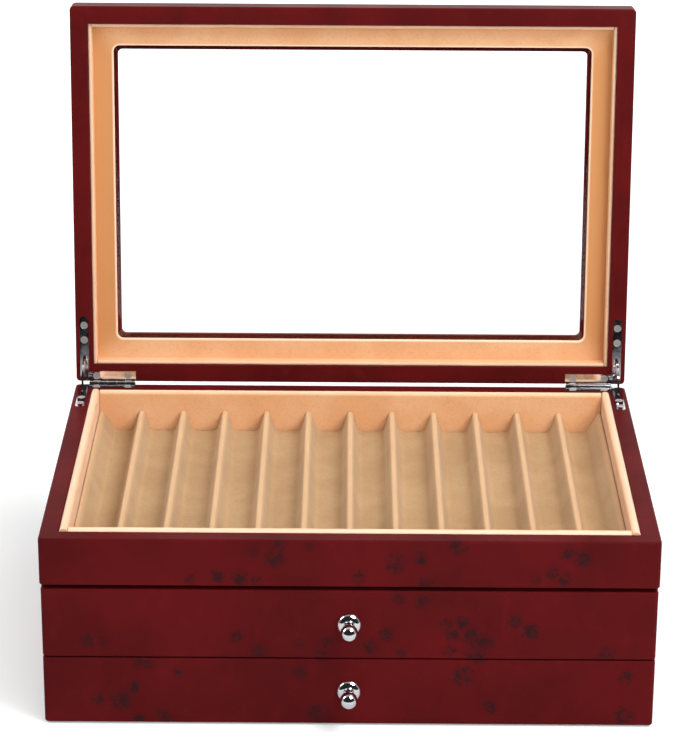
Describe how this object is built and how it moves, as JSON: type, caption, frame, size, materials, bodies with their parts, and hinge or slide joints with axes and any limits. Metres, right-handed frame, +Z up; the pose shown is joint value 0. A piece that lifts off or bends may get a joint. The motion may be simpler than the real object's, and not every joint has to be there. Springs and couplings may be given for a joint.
{
  "type": "pen collector chest",
  "caption": "Wooden chest for a pen collection: a glazed hinged lid over a velvet tray of pen grooves, and two pull-out drawers with ball knobs.",
  "frame": {"origin": "on the table, under the middle of the case", "axes": "+X to the chest's right seen from the front, +Y to the back, +Z up; the lid is open at rest"},
  "size_m": [0.35, 0.3, 0.3555],
  "materials": {
    "wood": "satin lacquer",
    "velvet": "short pile over board",
    "felt": "felt",
    "glass": "clear",
    "chrome": "polished",
    "steel": "plain"
  },
  "bodies": {
    "case": {"back_panel": "wood", "base_felt": "felt", "bottom_panel": "wood", "case_hinge_leaf_left": "chrome", "case_hinge_leaf_right": "chrome", "case_leaf_screws": "chrome", "drawer_shelf": "wood", "hinge_pin_left": "chrome", "hinge_pin_right": "chrome", "pen_tray": "velvet", "side_panel_left": "wood", "side_panel_right": "wood", "tray_deck": "wood", "tray_front": "wood", "tray_lining_back": "velvet", "tray_lining_front": "velvet", "tray_lining_left": "velvet", "tray_lining_right": "velvet"},
    "lid": {"lid_hinge_leaf_left": "chrome", "lid_hinge_leaf_right": "chrome", "lid_leaf_screws": "chrome", "lid_lining_back": "velvet", "lid_lining_front": "velvet", "lid_lining_left": "velvet", "lid_lining_right": "velvet", "lid_panel": "wood", "lid_rail_back": "wood", "lid_rail_front": "wood", "lid_rail_left": "wood", "lid_rail_right": "wood", "window_board": "velvet", "window_glass": "glass"},
    "stay_left": {"quadrant_stay_left": "chrome"},
    "stay_right": {"quadrant_stay_right": "chrome"},
    "lower_drawer": {"lower_drawer_back": "wood", "lower_drawer_bottom": "wood", "lower_drawer_front": "wood", "lower_drawer_lining_back": "velvet", "lower_drawer_lining_front": "velvet", "lower_drawer_lining_left": "velvet", "lower_drawer_lining_right": "velvet", "lower_drawer_side_left": "wood", "lower_drawer_side_right": "wood", "lower_drawer_tray": "velvet", "lower_knob": "chrome", "lower_knob_screw": "steel"},
    "upper_drawer": {"upper_drawer_back": "wood", "upper_drawer_bottom": "wood", "upper_drawer_front": "wood", "upper_drawer_lining_back": "velvet", "upper_drawer_lining_front": "velvet", "upper_drawer_lining_left": "velvet", "upper_drawer_lining_right": "velvet", "upper_drawer_side_left": "wood", "upper_drawer_side_right": "wood", "upper_drawer_tray": "velvet", "upper_knob": "chrome", "upper_knob_screw": "steel"}
  },
  "joints": [
    {"name": "lid_hinge", "type": "hinge", "parent": "case", "child": "lid", "pos_m": [0, 0.1214, 0.1155], "axis": [1, 0, 0], "range_deg": [0, 95.8]},
    {"name": "stay_left_hinge", "type": "hinge", "parent": "case", "child": "stay_left", "pos_m": [0, 0.1214, 0.1155], "axis": [1, 0, 0], "range_deg": [0, 48]},
    {"name": "stay_right_hinge", "type": "hinge", "parent": "case", "child": "stay_right", "pos_m": [0, 0.1214, 0.1155], "axis": [1, 0, 0], "range_deg": [0, 48]},
    {"name": "lower_drawer_slide", "type": "slide", "parent": "case", "child": "lower_drawer", "axis": [0, -1, 0], "range_m": [0, 0.17]},
    {"name": "upper_drawer_slide", "type": "slide", "parent": "case", "child": "upper_drawer", "axis": [0, -1, 0], "range_m": [0, 0.17]}
  ],
  "couplings": [
    {"joint": "stay_left_hinge", "follows": "lid_hinge", "ratio": 0.5},
    {"joint": "stay_right_hinge", "follows": "lid_hinge", "ratio": 0.5}
  ]
}
